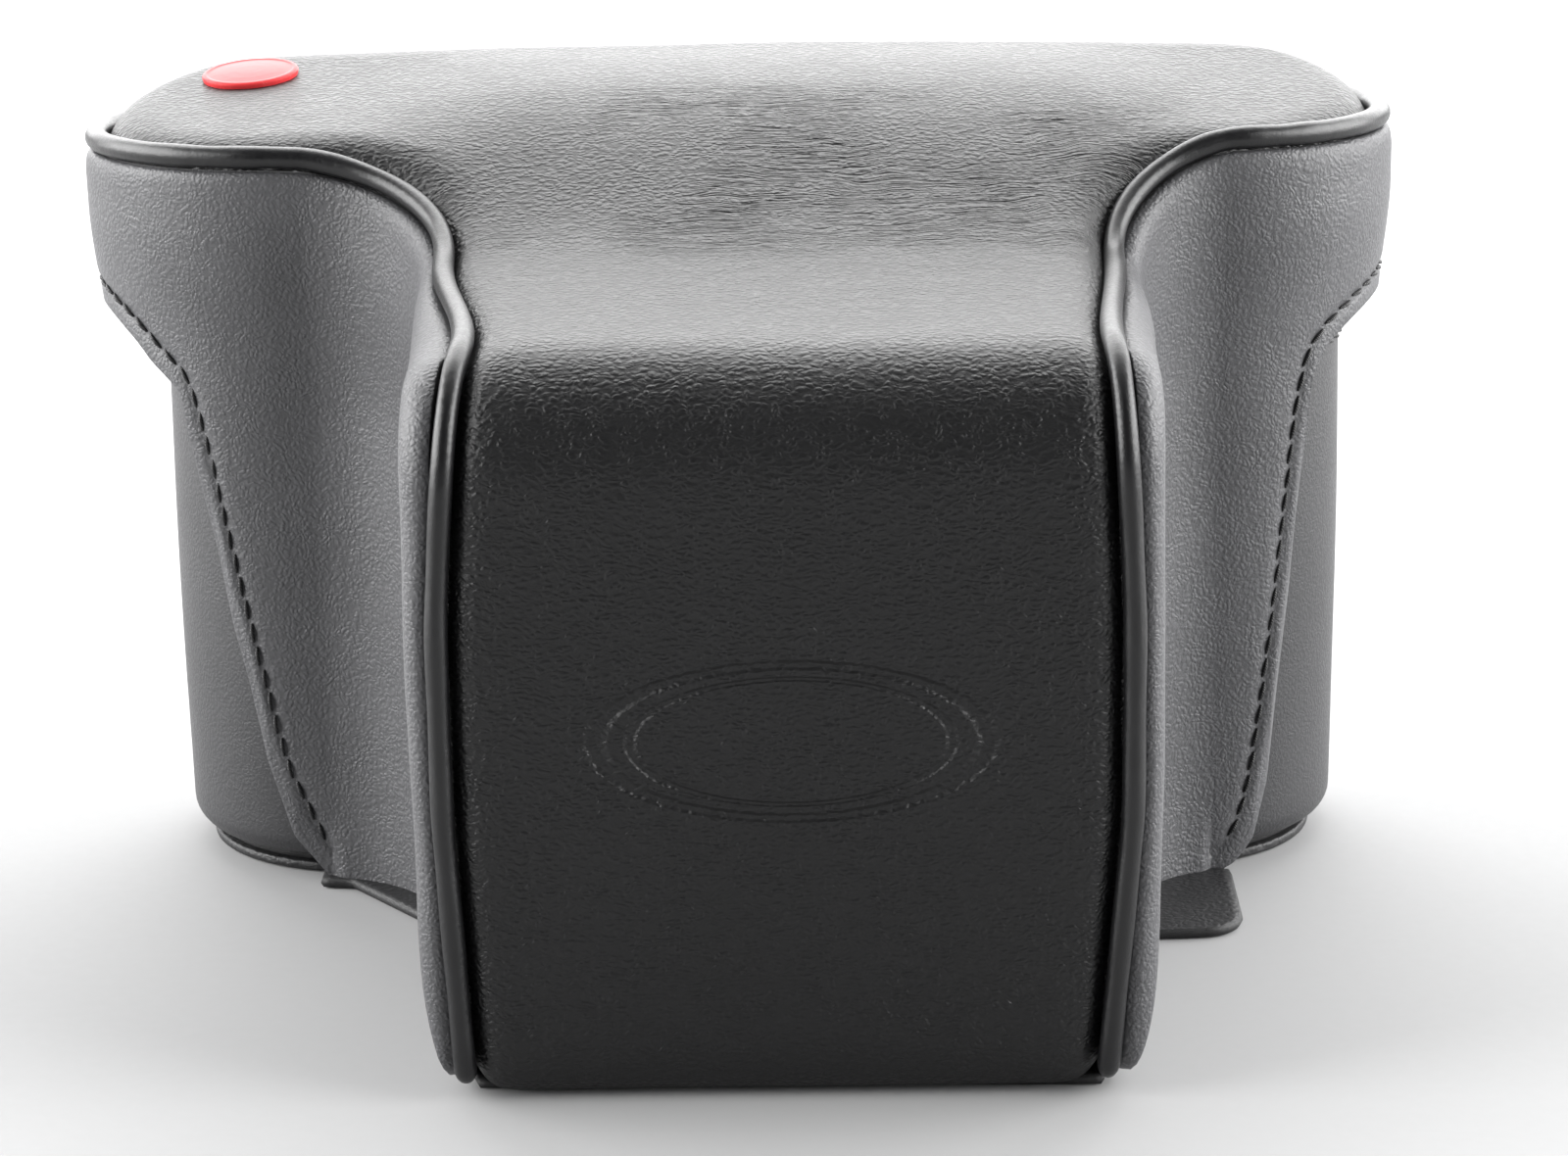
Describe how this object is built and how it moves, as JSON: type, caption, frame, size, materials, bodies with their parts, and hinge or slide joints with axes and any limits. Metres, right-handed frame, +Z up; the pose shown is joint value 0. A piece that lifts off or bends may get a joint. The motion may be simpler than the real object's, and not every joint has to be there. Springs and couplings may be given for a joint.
{
  "type": "camera ever ready case",
  "caption": "Black leather ever-ready camera case: a half case with a camera screw, and a piped cover with a lens nose that folds forward once its rear flap is lifted.",
  "frame": {"origin": "middle of the half case's base, on the face it stands on", "axes": "+X to the right as seen from the nose, -Y to the front (the nose points along -Y), +Z up"},
  "size_m": [0.1618, 0.1191, 0.098],
  "materials": {
    "shell_leather": "smooth black calf, satin",
    "cheek_leather": "fine-grained black leather, satin",
    "panel_leather": "grained black leather with fine creases, satin",
    "base_leather": "black leather, dull",
    "piping_leather": "smooth black skived leather over cord, semi-gloss",
    "welt": "burnished black edge",
    "board": "dense grey-brown board, matt",
    "lining": "short flocked velour, charcoal",
    "pad_felt": "felt, charcoal",
    "thread": "waxed black thread",
    "nickel": "nickel-plated, bright",
    "cap_lacquer": "black lacquered snap cap",
    "brass": "turned brass",
    "screw_metal": "turned brass, lightly tarnished",
    "ring_steel": "spring steel",
    "badge_enamel": "glossy red, blank"
  },
  "bodies": {
    "half_case": {"half_case_shell": "shell_leather", "half_case_board": "board", "half_case_lining": "lining", "floor_pad": "pad_felt", "base_panel": "base_leather", "base_welt": "welt", "hinge_tongue": "base_leather", "hinge_snaps": "nickel", "rear_snap_studs": "nickel", "screw_bush": "brass", "half_case_stitching": "thread"},
    "screw": {"camera_screw": "screw_metal", "screw_ring": "ring_steel"},
    "cover": {"top_panel": "panel_leather", "left_cheek": "cheek_leather", "right_cheek": "cheek_leather", "bottom_panel": "base_leather", "left_piping": "piping_leather", "right_piping": "piping_leather", "cover_board": "board", "cover_lining": "lining", "left_stitching": "thread", "right_stitching": "thread", "badge": "badge_enamel"},
    "rear_flap": {"rear_flap": "panel_leather", "flap_lining": "lining", "flap_snap_caps": "cap_lacquer", "flap_snap_sockets": "nickel", "flap_stitching": "thread"}
  },
  "joints": [
    {"name": "cover_tilt", "type": "hinge", "parent": "half_case", "child": "cover", "pos_m": [0, -0.0236, 0.0006], "axis": [1, 0, 0], "range_deg": [0, 90]},
    {"name": "flap_fold", "type": "hinge", "parent": "cover", "child": "rear_flap", "pos_m": [0, 0.02525, 0.088], "axis": [1, 0, 0], "range_deg": [0, 150]},
    {"name": "screw_turn", "type": "hinge", "parent": "half_case", "child": "screw", "pos_m": [-0.051, 0, 0], "axis": [0, 0, 1], "continuous": true}
  ],
  "couplings": [
    {"joint": "flap_fold", "follows": "cover_tilt", "ratio": 1.6}
  ]
}
